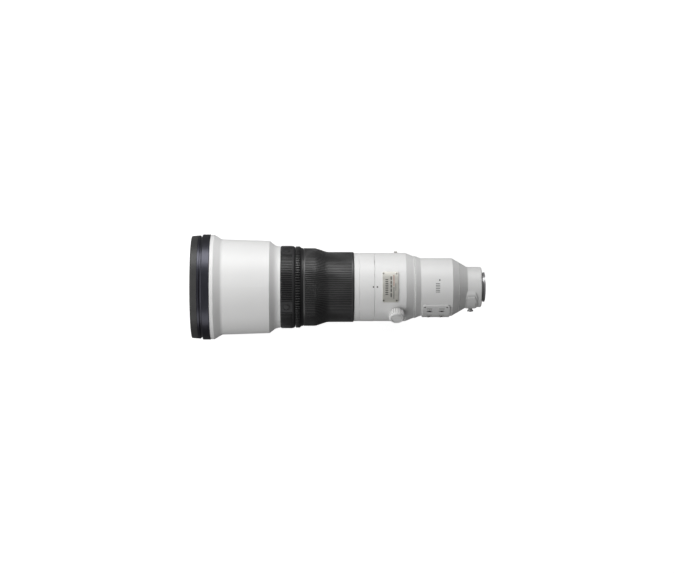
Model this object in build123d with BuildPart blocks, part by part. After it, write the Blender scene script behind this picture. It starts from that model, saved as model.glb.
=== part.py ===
from build123d import *

import os
from math import copysign, cos, radians, sin, sqrt

# A white super-telephoto lens that turns in a tripod collar, made as separate pieces, in millimetres.
# Frame: the origin is the centre of the camera mount's flange, on the optical axis. +X points to the
# camera body, -X to the front of the lens, +Z up, +Y to the photographer's right.
# Turned pieces are drawn as half sections of (distance ahead of the flange, radius).

os.makedirs("parts", exist_ok=True)

# ---- driving dimensions ----
LENGTH = 449.0  # flange to the front of the rubber bumper
FRONT_R = 81.8  # largest radius, on the gloss front ring
GLASS_R = 76.8  # front element
TUBE_R = 50.0  # main tube, which the focus ring turns on
FRONT_TUBE_R = 55.0  # main tube under the function ring
JOURNAL_R = 46.0  # tube that the tripod collar turns on
COLLAR_R = 53.0
REAR_R = 44.9  # rear barrel
MOUNT_R = 31.25  # mount barrel
THROAT_R = 19.0  # clear bore of the camera mount
SPIGOT_R = 21.4
LUG_R = 23.0  # bayonet lugs
CONE_SLOPE = (REAR_R - MOUNT_R) / 23.5  # rear cone, radius per length
COLLAR_FRONT = 166.3  # distances ahead of the flange
COLLAR_BACK = 104.6
KNOB_AT = 132.5
KNOB_ANGLE = -47.0  # from the top, negative towards the photographer's left
BUTTON_AT = 301.8
BUTTON_ANGLES = {"upper_right": 60.8, "upper_left": -29.2, "lower_left": -119.2, "lower_right": 150.8}
PANEL_AT = 70.9
PANEL_ANGLE = -75.0
PANEL_R = 46.9
SWITCH_AT = (81.6, 62.6)
SWITCH_ANGLES = (-53.0, -75.0, -97.0)
FILTER_AT = 16.6
FOOT_FRONT = 264.0
FOOT_BACK = 112.0
FOOT_BOTTOM = -98.0
FOOT_TOP = -84.0
PEDESTAL = -66.0  # where the foot's neck meets the collar
RUN = 0.06  # radial running clearance
VIA = "via"  # marks the middle point of an arc in an outline


def section(*outline):
    """Half section from (distance ahead of the flange, radius); a VIA point is the middle of an arc."""
    points = [(-place[0], place[1]) for place in outline]
    count = len(points)
    with BuildSketch(Plane.XZ) as half:
        with BuildLine():
            for index in range(count):
                after = (index + 1) % count
                if len(outline[index]) == 3:
                    continue
                if len(outline[after]) == 3:
                    ThreePointArc(points[index], points[after], points[(index + 2) % count])
                else:
                    Line(points[index], points[after])
        make_face()
    return half.sketch


def band(front, back, inner, outer):
    """Half section of a plain ring."""
    return section((front, inner), (front, outer), (back, outer), (back, inner))


def element(front, back, rim, front_bulge, back_bulge):
    """Half section of a lens element whose rim runs from front to back; the bulges are at its centre."""

    def height(bulge, radius):
        ball = (rim**2 + bulge**2) / (2 * bulge)
        return bulge - ball + copysign(sqrt(ball**2 - radius**2), ball)

    front_middle = (front + height(front_bulge, rim / 2), rim / 2, VIA)
    back_middle = (back - height(back_bulge, rim / 2), rim / 2, VIA)
    return section(
        (front + front_bulge, 0), front_middle, (front, rim), (back, rim), back_middle,
        (back - back_bulge, 0),
    )


def radial(ahead, angle, radius=0.0):
    """Plane square to a radius of the lens: its Z points outwards and its X to the camera."""
    out = Vector(0, sin(radians(angle)), cos(radians(angle)))
    return Plane(origin=Vector(-ahead, 0, 0) + out * radius, x_dir=(1, 0, 0), z_dir=out)


def save(piece, name):
    """Label a finished piece and write it."""
    piece.part.label = name
    export_step(piece.part, f"parts/{name}.step")


# ---- front end ----
NOSE_R = 76.6  # of the front ring, inside the rubber
MOUTH_R = 75.7

with BuildPart() as front_rubber_ring:
    revolve(
        section(
            (438.6, NOSE_R), (438.6, 80.1), (LENGTH, 79.3), (LENGTH, MOUTH_R), (446.6, MOUTH_R),
            (446.6, NOSE_R),
        ),
        axis=Axis.X,
    )
    front_edges = front_rubber_ring.edges().group_by(Axis.X)[0].sort_by(SortBy.RADIUS)
    fillet(front_edges[-1], 1.7)
save(front_rubber_ring, "front_rubber_ring")

with BuildPart() as front_ring:
    revolve(
        section(
            (446.5, MOUTH_R - 0.1), (446.5, NOSE_R), (438.55, NOSE_R), (438.55, 79.8), (438.1, 80.2),
            (435.1, 80.2), (434.6, 79.7), (434.6, 78.4), (433.3, 78.1, VIA), (431.9, 78.4), (431.9, 80.9),
            (431.0, FRONT_R), (420.1, FRONT_R), (419.4, 81.1), (419.4, 78.6), (414.6, 78.6), (414.6, 77.0),
            (430.4, 77.0), (430.4, MOUTH_R - 0.1),
        ),
        axis=Axis.X,
    )
save(front_ring, "front_ring")

with BuildPart() as front_element:
    revolve(element(429.9, 425.9, GLASS_R, 9.0, -4.6), axis=Axis.X)
save(front_element, "front_element")

with BuildPart() as front_barrel:
    revolve(
        section(
            (414.3, 78.7), (419.3, 78.7), (419.3, 80.9), (419.0, 81.2), (414.0, 81.2), (413.5, 81.0),
            (403.6, 75.0), (401.4, 74.2, VIA), (398.6, 74.0), (328.4, 71.6), (327.9, 71.3), (322.8, 67.3),
            (318.2, 64.4, VIA), (312.3, 63.2), (311.3, 63.2), (311.3, 60.9), (319.2, 60.9), (323.0, 63.9),
            (327.4, 68.2), (330.0, 70.0), (399.0, 72.5), (414.3, 72.6),
        ),
        axis=Axis.X,
    )
save(front_barrel, "front_barrel")

FINS = 7
FIN_PITCH = 8.0
LINER_FRONT = 412.0
LINER_BACK = 352.0
LINER_WALL = 0.9


def liner_radius(ahead):
    """Outer radius of the light baffle tube, which narrows to the rear."""
    return 71.8 - (LINER_FRONT - ahead) * 0.034


with BuildPart() as light_baffle:
    inner_fins = []
    for fin in range(FINS):
        start = LINER_FRONT - fin * FIN_PITCH
        inner_fins.append((start, liner_radius(start) - 2.6))
        inner_fins.append((start - 1.2, liner_radius(start) - LINER_WALL))
        inner_fins.append((start - FIN_PITCH + 0.2, liner_radius(start - FIN_PITCH) - LINER_WALL))
    revolve(
        section(
            (414.5, 71.0),
            *inner_fins,
            (LINER_BACK, 59.2),
            (LINER_BACK - 1.4, 59.2),
            (LINER_BACK - 1.4, liner_radius(LINER_BACK)),
            (LINER_FRONT, liner_radius(LINER_FRONT)),
            (414.5, 71.9),
            (414.5, 76.9),
            (425.8, 76.9),
            (425.8, 75.2),
            (423.0, 74.9),
            (417.0, 74.9),
        ),
        axis=Axis.X,
    )
save(light_baffle, "light_baffle")

with BuildPart() as second_cell:
    revolve(
        section(
            (349.8, 54.2), (349.8, 56.2), (325.0, 56.2), (325.0, 58.8), (319.3, 58.8), (319.3, 53.0),
            (308.0, 53.0), (308.0, 48.6), (323.0, 48.6), (323.0, 51.4), (337.0, 51.4), (337.0, 54.2),
        ),
        axis=Axis.X,
    )
save(second_cell, "second_cell")

with BuildPart() as second_elements:
    revolve(element(342.0, 337.5, 54.1, 4.0, 1.0), axis=Axis.X)
    revolve(element(331.0, 323.1, 51.3, -1.5, -3.4), axis=Axis.X)
save(second_elements, "second_elements")

# ---- main tube, motor and focusing group ----
ROD_Y = 41.0
ROD_R = 2.0

with BuildPart() as guide_rods:
    with BuildSketch(Plane.YZ.offset(-265.0)):
        with Locations((-ROD_Y, 0), (ROD_Y, 0)):
            Circle(ROD_R)
    extrude(amount=78.0)
save(guide_rods, "guide_rods")

with BuildPart() as main_tube:
    revolve(
        section(
            (319.0, 53.0), (319.0, FRONT_TUBE_R), (276.4, FRONT_TUBE_R), (276.4, 58.8), (274.1, 58.8),
            (274.1, TUBE_R), (169.0, TUBE_R), (169.0, 48.2), (276.0, 48.2), (278.0, 53.0),
        ),
        axis=Axis.X,
    )
    revolve(band(266.0, 263.5, 36.5, 49.0), axis=Axis.X)
    revolve(band(190.0, 187.5, 36.5, 49.0), axis=Axis.X)
    add(guide_rods.part, mode=Mode.SUBTRACT)
save(main_tube, "main_tube")

with BuildPart() as motor_stator:
    revolve(band(299.0, 292.0, 46.0, 53.0), axis=Axis.X)
save(motor_stator, "motor_stator")

with BuildPart() as motor_rotor:
    revolve(band(291.7, 286.7, 46.5, 52.6), axis=Axis.X)
save(motor_rotor, "motor_rotor")

with BuildPart() as focus_cell:
    revolve(
        section(
            (240.0, 33.6), (240.0, 36.5), (226.0, 36.5), (226.0, 32.0), (229.0, 32.0), (229.0, 33.6)
        ),
        axis=Axis.X,
    )
    with BuildSketch(Plane.YZ.offset(-240.0)):
        with Locations((-ROD_Y + 1, 0), (ROD_Y - 1, 0)):
            RectangleRounded(9.5, 9.5, 1.5)
    extrude(amount=10.0)
    with BuildSketch(Plane.YZ.offset(-240.0)):
        Circle(33.6)
        with Locations((-ROD_Y, 0), (ROD_Y, 0)):
            Circle(ROD_R + RUN)
    extrude(amount=10.0, mode=Mode.SUBTRACT)
save(focus_cell, "focus_cell")

with BuildPart() as focus_element:
    revolve(element(238.0, 229.1, 33.5, -2.0, -3.0), axis=Axis.X)
save(focus_element, "focus_element")

# ---- ring with the focus-hold buttons ----
PAD_R = 63.9
BEZEL_R = 5.7
BEZEL_BORE = 4.65
BUTTON_R = 4.35
POCKET_FLOOR = 59.0

with BuildPart() as button_ring:
    revolve(
        section(
            (310.5, FRONT_TUBE_R), (310.5, 63.0), (292.6, 63.0), (292.6, 63.8), (291.2, 63.6), (289.7, 62.7),
            (288.5, 61.3), (288.5, FRONT_TUBE_R),
        ),
        axis=Axis.X,
    )
    for angle in BUTTON_ANGLES.values():
        with BuildSketch(radial(BUTTON_AT, angle, 56.0)):
            RectangleRounded(18.4, 19.0, 2.5)
        extrude(amount=10.0)
    revolve(
        section(
            (320.0, 0), (320.0, PAD_R - 0.6), (310.9, PAD_R - 0.6), (310.3, PAD_R), (292.4, PAD_R),
            (291.2, 63.6), (289.7, 62.7), (288.5, 61.3), (288.0, 61.3), (288.0, 0),
        ),
        axis=Axis.X,
        mode=Mode.INTERSECT,
    )
    revolve(band(319.0, 310.5, FRONT_TUBE_R, 60.85), axis=Axis.X)
    revolve(band(311.2, 310.5, FRONT_TUBE_R, 62.6), axis=Axis.X)
    for angle in BUTTON_ANGLES.values():
        with BuildSketch(radial(BUTTON_AT, angle, 62.0)):
            Circle(BEZEL_R)
        extrude(amount=2.4, taper=6)
        with BuildSketch(radial(BUTTON_AT, angle, POCKET_FLOOR)):
            Circle(BEZEL_BORE)
        extrude(amount=8.0, mode=Mode.SUBTRACT)
save(button_ring, "button_ring")

with BuildPart() as button_grips:
    revolve(
        section((310.4, 63.0), (310.4, 63.5), (309.8, 64.1), (293.3, 64.1), (292.7, 63.6), (292.7, 63.0)),
        axis=Axis.X,
    )
    for angle in BUTTON_ANGLES.values():
        with BuildSketch(radial(BUTTON_AT, angle, 56.0)):
            Rectangle(24.0, 19.6)
        extrude(amount=12.0, mode=Mode.SUBTRACT)
save(button_grips, "button_grips")

for place, angle in BUTTON_ANGLES.items():
    with BuildPart() as hold_button:
        with BuildSketch(radial(BUTTON_AT, angle, 60.3)):
            Circle(BUTTON_R)
        extrude(amount=4.0)
        outward = Axis((0, 0, 0), radial(BUTTON_AT, angle).z_dir)
        fillet(hold_button.edges().group_by(outward)[-1], 0.6)
    save(hold_button, f"focus_hold_button_{place}")

# ---- function ring and focus ring ----
with BuildPart() as function_sleeve:
    revolve(
        section(
            (288.2, FRONT_TUBE_R + RUN), (288.2, 61.4), (281.0, 61.4), (281.0, 62.7), (279.8, 61.4),
            (278.0, 60.7, VIA), (276.0, 60.3), (276.0, 59.0), (276.7, 59.0), (276.7, FRONT_TUBE_R + RUN),
        ),
        axis=Axis.X,
    )
save(function_sleeve, "function_sleeve")

with BuildPart() as function_grip:
    revolve(
        section((288.1, 61.4), (288.1, 62.4), (287.4, 63.2), (281.6, 63.2), (281.1, 62.8), (281.1, 61.4)),
        axis=Axis.X,
    )
save(function_grip, "function_grip")

with BuildPart() as focus_sleeve:
    revolve(
        section(
            (273.8, TUBE_R + RUN), (273.8, 58.6), (257.8, 58.6), (243.2, 54.0), (237.2, 52.6),
            (197.9, 52.6), (197.9, TUBE_R + RUN), (206.0, TUBE_R + RUN), (206.0, 51.4), (237.5, 51.4),
            (243.2, 52.6), (257.8, 57.2), (269.0, 57.2), (269.0, TUBE_R + RUN),
        ),
        axis=Axis.X,
    )
save(focus_sleeve, "focus_sleeve")

with BuildPart() as focus_grip:
    revolve(
        section(
            (275.7, 59.0), (275.7, 60.0), (275.3, 60.4), (258.0, 60.4), (243.2, 55.8), (240.4, 54.7, VIA),
            (237.0, 54.35), (199.0, 54.35), (198.1, 53.5), (198.1, 52.6), (237.2, 52.6), (243.2, 54.0),
            (257.8, 58.6), (273.8, 58.6), (273.8, 59.0),
        ),
        axis=Axis.X,
    )
save(focus_grip, "focus_grip")

# ---- middle barrel and journal ----
with BuildPart() as middle_barrel:
    revolve(
        section(
            (197.6, TUBE_R), (197.6, 52.7), (197.2, 53.1), (190.2, 53.1), (190.0, 52.4), (189.2, 52.4),
            (189.0, 53.1), (167.0, 53.1), (166.6, 52.7), (166.6, TUBE_R),
        ),
        axis=Axis.X,
    )
save(middle_barrel, "middle_barrel")

with BuildPart() as journal_tube:
    revolve(
        section(
            (176.0, 43.9), (176.0, 48.2), (168.9, 48.2), (168.9, 50.0), (166.6, 50.0), (166.6, JOURNAL_R),
            (101.6, JOURNAL_R), (101.6, 44.0), (97.2, 44.0), (97.2, 42.4), (106.0, 42.4), (107.5, 43.9),
        ),
        axis=Axis.X,
    )
save(journal_tube, "journal_tube")

# ---- iris and stabiliser ----
IRIS_WEBS = ((160.0, 158.4, 25.0), (151.5, 150.0, 25.0))  # front, back, radius of the opening
STABILISER_WEBS = ((140.0, 138.5, 27.0), (125.5, 124.0, 27.0))

with BuildPart() as iris_ring:
    revolve(band(157.9, 156.2, 25.6, 40.2), axis=Axis.X)
    with BuildSketch(Plane.YZ.offset(-157.9)):
        with PolarLocations(33.0, 9):
            SlotOverall(9.0, 2.0, rotation=35)
    extrude(amount=1.7, mode=Mode.SUBTRACT)
save(iris_ring, "iris_ring")

with BuildPart() as iris_stabiliser_housing:
    revolve(band(160.0, 124.0, 40.5, 43.9), axis=Axis.X)
    for front, back, opening in IRIS_WEBS + STABILISER_WEBS:
        revolve(band(front, back, opening, 41.0), axis=Axis.X)
save(iris_stabiliser_housing, "iris_stabiliser_housing")

with BuildPart() as stabiliser_frame:
    revolve(band(137.0, 132.0, 34.0, 38.0), axis=Axis.X)
save(stabiliser_frame, "stabiliser_frame")

with BuildPart() as stabiliser_cell:
    revolve(
        section((136.5, 25.1), (136.5, 32.0), (128.0, 32.0), (128.0, 23.8), (129.0, 23.8), (129.0, 25.1)),
        axis=Axis.X,
    )
save(stabiliser_cell, "stabiliser_cell")

with BuildPart() as stabiliser_element:
    revolve(element(135.0, 129.1, 25.0, 1.8, 1.0), axis=Axis.X)
save(stabiliser_element, "stabiliser_element")

# ---- tripod collar, with what is fixed in it ----
with BuildPart() as strap_lugs:
    for side in (-1, 1):
        with BuildSketch(Plane.YZ.offset(-134.7)):
            with Locations((side * 52.4, 0)):
                RectangleRounded(7.0, 16.0, 1.8)
            with Locations((side * 50.6, 0)):
                RectangleRounded(7.8, 11.8, 1.2, mode=Mode.SUBTRACT)
        extrude(amount=4.4)
save(strap_lugs, "strap_lugs")

SMALL_HEAD_R = 1.35
SMALL_SHANK_R = 0.7
PLATE_SCREWS = [(ahead, angle) for ahead in (153.1, 133.1) for angle in (-22.4, 22.4)]

with BuildPart() as nameplate_screws:
    for ahead, angle in PLATE_SCREWS:
        with BuildSketch(radial(ahead, angle, 50.5)):
            Circle(SMALL_SHANK_R)
        extrude(amount=3.0)
        with BuildSketch(radial(ahead, angle, 53.1)):
            Circle(SMALL_HEAD_R)
        extrude(amount=1.45)
        with BuildSketch(radial(ahead, angle, 54.25)):
            Rectangle(1.6, 0.35)
            Rectangle(0.35, 1.6)
        extrude(amount=0.5, mode=Mode.SUBTRACT)
save(nameplate_screws, "nameplate_screws")

with BuildPart() as nameplate:
    with BuildSketch(radial(142.5, 0)):
        RectangleRounded(24.3, 47.1, 2.0)
    extrude(amount=60.0)
    revolve(band(160.0, 125.0, COLLAR_R, 54.3), axis=Axis.X, mode=Mode.INTERSECT)
    for ahead, angle in PLATE_SCREWS:
        with BuildSketch(radial(ahead, angle, 50.0)):
            Circle(SMALL_HEAD_R)
        extrude(amount=6.0, mode=Mode.SUBTRACT)
save(nameplate, "nameplate")

FOOT_SCREWS = [(-150.0, -9.5), (-150.0, 9.5), (-126.0, -9.5), (-126.0, 9.5)]

with BuildPart() as foot_screws:
    with BuildSketch(Plane.XY.offset(-91.0)):
        with Locations(*FOOT_SCREWS):
            Circle(4.2)
    extrude(amount=5.0)
    with BuildSketch(Plane.XY.offset(-86.0)):
        with Locations(*FOOT_SCREWS):
            Circle(2.5)
    extrude(amount=30.0)
    with BuildSketch(Plane.XY.offset(-91.0)):
        with Locations(*FOOT_SCREWS):
            RegularPolygon(2.3, 6)
    extrude(amount=2.5, mode=Mode.SUBTRACT)
save(foot_screws, "foot_screws")

SHOE_R = 6.4
CLAMP_BOSS_R = 9.5
CLAMP_BOSS_TOP = 55.8  # from the lens axis

with BuildPart() as tripod_collar:
    revolve(
        section(
            (COLLAR_FRONT, 47.2), (COLLAR_FRONT, 52.6), (165.9, COLLAR_R), (118.0, COLLAR_R),
            (106.3, 48.35), (105.0, 48.2), (COLLAR_BACK, 47.9), (COLLAR_BACK, 47.2),
        ),
        axis=Axis.X,
    )
    with BuildSketch(Plane.XY.offset(PEDESTAL)):
        with Locations((-139.0, 0)):
            RectangleRounded(46.0, 38.0, 6.0)
    extrude(amount=18.0)
    with BuildSketch(radial(KNOB_AT, KNOB_ANGLE, 50.0)):
        Circle(CLAMP_BOSS_R)
    extrude(amount=CLAMP_BOSS_TOP - 50.0)
    with BuildSketch(radial(KNOB_AT, KNOB_ANGLE, 44.0)):
        Circle(SHOE_R + 0.1)
    extrude(amount=6.6, mode=Mode.SUBTRACT)
    with BuildSketch(radial(KNOB_AT, KNOB_ANGLE, 50.0)):
        Circle(3.0)
    extrude(amount=8.0, mode=Mode.SUBTRACT)
    add([strap_lugs.part, nameplate_screws.part, foot_screws.part], mode=Mode.SUBTRACT)
save(tripod_collar, "tripod_collar")

with BuildPart() as collar_liner:
    revolve(band(COLLAR_FRONT, COLLAR_BACK, JOURNAL_R + RUN, 47.2), axis=Axis.X)
    with BuildSketch(radial(KNOB_AT, KNOB_ANGLE, 44.0)):
        Circle(SHOE_R + 0.1)
    extrude(amount=6.0, mode=Mode.SUBTRACT)
save(collar_liner, "collar_liner")

with BuildPart() as tripod_foot:
    with BuildSketch(Plane.XY.offset(FOOT_BOTTOM)):
        with Locations((-(FOOT_FRONT + FOOT_BACK) / 2, 0)):
            RectangleRounded(FOOT_FRONT - FOOT_BACK, 38.0, 9.0)
    extrude(amount=FOOT_TOP - FOOT_BOTTOM)
    fillet(tripod_foot.faces().sort_by(Axis.Z)[-1].edges(), 2.0)
    chamfer(tripod_foot.faces().sort_by(Axis.Z)[0].edges(), 0.8)
    with BuildSketch(Plane.XZ):
        with BuildLine():
            Polyline(
                (-171, FOOT_TOP - 1), (-164, -78), (-161, PEDESTAL), (-117, PEDESTAL), (-117, FOOT_TOP - 1),
                close=True,
            )
        make_face()
    extrude(amount=16.5, both=True)
    fillet(tripod_foot.faces().sort_by(Axis.Z)[-1].edges().filter_by(Axis.X), 3.0)
    with BuildSketch(Plane.XY.offset(FOOT_BOTTOM)):
        with Locations(*FOOT_SCREWS):
            Circle(4.5)
    extrude(amount=12.0, mode=Mode.SUBTRACT)
    with BuildSketch(Plane.XY.offset(FOOT_BOTTOM)):
        with Locations((-178.0, 0)):
            Circle(4.7625)
        with Locations((-215.0, 0)):
            Circle(3.175)
    extrude(amount=11.0, mode=Mode.SUBTRACT)
    add(foot_screws.part, mode=Mode.SUBTRACT)
save(tripod_foot, "tripod_foot")

# ---- clamp knob ----
FLUTES = 22

with BuildPart() as brake_shoe:
    with BuildSketch(radial(KNOB_AT, KNOB_ANGLE, 44.0)):
        Circle(SHOE_R)
        Circle(3.0, mode=Mode.SUBTRACT)
    extrude(amount=5.4)
    with BuildSketch(radial(KNOB_AT, KNOB_ANGLE, 44.0)):
        Circle(3.0)
    extrude(amount=3.4)
    revolve(band(145.0, 120.0, 46.15, 60.0), axis=Axis.X, mode=Mode.INTERSECT)
save(brake_shoe, "brake_shoe")

with BuildPart() as clamp_screw:
    with BuildSketch(radial(KNOB_AT, KNOB_ANGLE, 47.6)):
        Circle(3.0 - RUN)
    extrude(amount=15.4)
save(clamp_screw, "clamp_screw")

with BuildPart() as clamp_knob:
    with BuildSketch(radial(KNOB_AT, KNOB_ANGLE, 54.8)):
        Circle(12.1)
    extrude(amount=11.7)
    knob_out = Axis((0, 0, 0), radial(KNOB_AT, KNOB_ANGLE).z_dir)
    chamfer(clamp_knob.edges().group_by(knob_out)[-1], 2.0)
    chamfer(clamp_knob.edges().group_by(knob_out)[0], 0.5)
    with BuildSketch(radial(KNOB_AT, KNOB_ANGLE, 54.0)):
        with PolarLocations(12.9, FLUTES):
            Circle(1.35)
    extrude(amount=14.0, mode=Mode.SUBTRACT)
    with BuildSketch(radial(KNOB_AT, KNOB_ANGLE, 54.0)):
        Circle(CLAMP_BOSS_R + 0.3)
    extrude(amount=CLAMP_BOSS_TOP + 0.6 - 54.0, mode=Mode.SUBTRACT)
    with BuildSketch(radial(KNOB_AT, KNOB_ANGLE, 65.7)):
        Circle(8.2)
        Circle(6.9, mode=Mode.SUBTRACT)
    extrude(amount=2.0, mode=Mode.SUBTRACT)
    add(clamp_screw.part, mode=Mode.SUBTRACT)
save(clamp_knob, "clamp_knob")

# ---- rear barrel and switch panel ----
PANEL_SCREWS = [(ahead, angle) for ahead in (88.7, 54.7) for angle in (-42.0, -108.0)]

MOUNT_SCREW_AT = 26.0
MOUNT_SCREWS = 4

with BuildPart() as barrel_screws:
    for ahead, angle in PANEL_SCREWS:
        with BuildSketch(radial(ahead, angle, 42.9)):
            Circle(SMALL_SHANK_R)
        extrude(amount=3.0)
        with BuildSketch(radial(ahead, angle, 45.1)):
            Circle(SMALL_HEAD_R)
        extrude(amount=1.95)
        with BuildSketch(radial(ahead, angle, 46.75)):
            Rectangle(1.6, 0.35)
            Rectangle(0.35, 1.6)
        extrude(amount=0.5, mode=Mode.SUBTRACT)
    with BuildSketch(Plane.YZ.offset(-6.0)):
        with PolarLocations(MOUNT_SCREW_AT, MOUNT_SCREWS, start_angle=45):
            Circle(1.0)
    extrude(amount=4.8)
    with BuildSketch(Plane.YZ.offset(-1.2)):
        with PolarLocations(MOUNT_SCREW_AT, MOUNT_SCREWS, start_angle=45):
            Circle(1.9)
    extrude(amount=1.15)
    with BuildSketch(Plane.YZ.offset(-0.6)):
        with PolarLocations(MOUNT_SCREW_AT, MOUNT_SCREWS, start_angle=45):
            Rectangle(2.2, 0.45)
            Rectangle(0.45, 2.2)
    extrude(amount=1.0, mode=Mode.SUBTRACT)
save(barrel_screws, "barrel_screws")

with BuildPart() as switch_panel:
    with BuildSketch(radial(PANEL_AT, PANEL_ANGLE)):
        RectangleRounded(41.8, 55.2, 4.0)
    extrude(amount=60.0)
    revolve(band(95.0, 46.0, REAR_R, PANEL_R), axis=Axis.X, mode=Mode.INTERSECT)
    for ahead in SWITCH_AT:
        for angle in SWITCH_ANGLES:
            with BuildSketch(radial(ahead, angle, 40.0)):
                RectangleRounded(8.2, 2.8, 0.8)
            extrude(amount=10.0, mode=Mode.SUBTRACT)
    for ahead, angle in PANEL_SCREWS:
        with BuildSketch(radial(ahead, angle, 40.0)):
            Circle(SMALL_HEAD_R)
        extrude(amount=8.0, mode=Mode.SUBTRACT)
save(switch_panel, "switch_panel")

SWITCH_NAMES = ("focus_mode", "focus_preset", "distance_range", "stabiliser_on", "stabiliser_mode", "tone")
switch_places = [(ahead, angle) for angle in SWITCH_ANGLES for ahead in SWITCH_AT]

for name, (ahead, angle) in zip(SWITCH_NAMES, switch_places):
    with BuildPart() as switch:
        with BuildSketch(radial(ahead, angle, 43.4)):
            Rectangle(6.2, 4.2)
        extrude(amount=1.1)
        with BuildSketch(radial(ahead, angle, 44.4)):
            RectangleRounded(3.4, 2.3, 0.5)
        extrude(amount=3.3)
        with BuildSketch(radial(ahead, angle, 47.35)):
            with Locations((-0.8, 0), (0.8, 0)):
                Rectangle(0.45, 3.0)
        extrude(amount=1.0, mode=Mode.SUBTRACT)
    save(switch, f"{name}_switch")

cone_seam = MOUNT_R + (36.8 - 22.5) * CONE_SLOPE

with BuildPart() as rear_barrel:
    revolve(
        section(
            (104.3, JOURNAL_R), (104.3, 47.6), (103.7, 48.4), (102.9, 48.2), (95.0, REAR_R), (46.0, REAR_R),
            (36.8, cone_seam), (36.8, 37.2), (45.0, 42.0), (47.0, 42.6), (97.0, 42.6), (97.0, 44.0),
            (101.6, 44.0), (101.6, JOURNAL_R),
        ),
        axis=Axis.X,
    )
    with BuildSketch(radial(PANEL_AT, PANEL_ANGLE)):
        RectangleRounded(33.0, 43.0, 3.0)
    extrude(amount=60.0, mode=Mode.SUBTRACT)
    add(barrel_screws.part, mode=Mode.SUBTRACT)
save(rear_barrel, "rear_barrel")

with BuildPart() as rear_cell:
    revolve(
        section(
            (92.0, 24.1), (92.0, 42.55), (89.0, 42.55), (89.0, 26.5), (66.0, 26.5), (66.0, 22.0),
            (68.5, 22.0), (68.5, 24.1),
        ),
        axis=Axis.X,
    )
save(rear_cell, "rear_cell")

with BuildPart() as rear_elements:
    revolve(element(87.0, 80.0, 24.0, 2.0, 1.2), axis=Axis.X)
    revolve(element(77.0, 68.6, 24.0, -1.5, -2.5), axis=Axis.X)
save(rear_elements, "rear_elements")

with BuildPart() as main_board:
    revolve(band(50.5, 48.9, 27.0, 41.8), axis=Axis.X)
    with BuildSketch(Plane.YZ.offset(-50.5)):
        with Locations((0, 41.0)):
            Rectangle(12.0, 6.0)
    extrude(amount=2.0, mode=Mode.SUBTRACT)
save(main_board, "main_board")

# ---- mount barrel, mount and drop-in filter ----
SHOULDER_R = 23.5  # inner edge of the web that the mount ring is screwed to
CAVITY_R = 28.6

with BuildPart() as filter_frame:
    with BuildSketch(radial(FILTER_AT, -90)):
        RectangleRounded(18.1, 61.2, 4.2)
    extrude(amount=40.0)
    revolve(band(30.0, 2.0, MOUNT_R - 0.4, 32.7), axis=Axis.X, mode=Mode.INTERSECT)

with BuildPart() as filter_pocket:
    with BuildSketch(radial(FILTER_AT, -90)):
        RectangleRounded(14.8, 58.8, 3.0)
    extrude(amount=40.0)
    revolve(band(30.0, 2.0, MOUNT_R + 0.1, 35.0), axis=Axis.X, mode=Mode.INTERSECT)

with BuildPart() as mount_barrel:
    revolve(
        section(
            (42.0, 35.2), (42.0, 37.1), (36.6, 37.1), (36.6, cone_seam - 0.5), (36.0, cone_seam + 0.05),
            (35.2, cone_seam - 0.95), (22.5, MOUNT_R), (2.0, MOUNT_R), (0.59, 30.66, VIA), (0.0, 29.3),
            (0.0, 29.05), (2.5, 29.05), (2.5, SHOULDER_R), (6.0, SHOULDER_R), (6.0, CAVITY_R),
            (24.0, CAVITY_R), (24.0, 22.0), (25.4, 22.0), (25.4, 24.9), (28.0, 24.9), (28.0, 32.0),
            (34.0, 35.2),
        ),
        axis=Axis.X,
    )
    add(filter_frame.part)
    add(filter_pocket.part, mode=Mode.SUBTRACT)
    with BuildSketch(Plane.YZ.offset(-FILTER_AT - 4.1)):
        with Locations((-20.0, 0)):
            Rectangle(40.0, 54.2)
    extrude(amount=8.4, mode=Mode.SUBTRACT)
    add(barrel_screws.part, mode=Mode.SUBTRACT)
save(mount_barrel, "mount_barrel")

with BuildPart() as rear_glass:
    revolve(band(27.6, 25.5, 0, 24.8), axis=Axis.X)
save(rear_glass, "rear_glass")

BLOCK_SPREAD = 29.0  # half angle of the contact block

with BuildPart() as mount_flange:
    revolve(
        section(
            (2.5, THROAT_R), (2.5, 29.0), (0.0, 29.0), (0.0, SPIGOT_R), (-5.6, SPIGOT_R), (-5.6, THROAT_R)
        ),
        axis=Axis.X,
    )
    with BuildSketch(Plane.YZ.offset(2.8)):
        Circle(LUG_R)
        with PolarLocations(LUG_R, 3, start_angle=150):
            Rectangle(8.0, 24.0, mode=Mode.SUBTRACT)
        Circle(SPIGOT_R - 0.5, mode=Mode.SUBTRACT)
    extrude(amount=2.8)
    notch_y = SPIGOT_R * sin(radians(BLOCK_SPREAD))
    notch_z = SPIGOT_R * cos(radians(BLOCK_SPREAD))
    with BuildSketch(Plane.YZ.offset(-2.5)):
        with BuildLine():
            Polyline(
                (0, 0), (notch_y, -notch_z), (0, -SPIGOT_R**2 / notch_z), (-notch_y, -notch_z), close=True
            )
        make_face()
        Circle(SPIGOT_R - 0.6, mode=Mode.INTERSECT)
    extrude(amount=8.1, mode=Mode.SUBTRACT)
    with BuildSketch(Plane.YZ.offset(-2.5)):
        with PolarLocations(MOUNT_SCREW_AT, MOUNT_SCREWS, start_angle=45):
            Circle(1.0)
    extrude(amount=3.0, mode=Mode.SUBTRACT)
    with BuildSketch(Plane.YZ.offset(-1.2)):
        with PolarLocations(MOUNT_SCREW_AT, MOUNT_SCREWS, start_angle=45):
            Circle(1.9)
    extrude(amount=3.0, mode=Mode.SUBTRACT)
save(mount_flange, "mount_flange")

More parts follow.
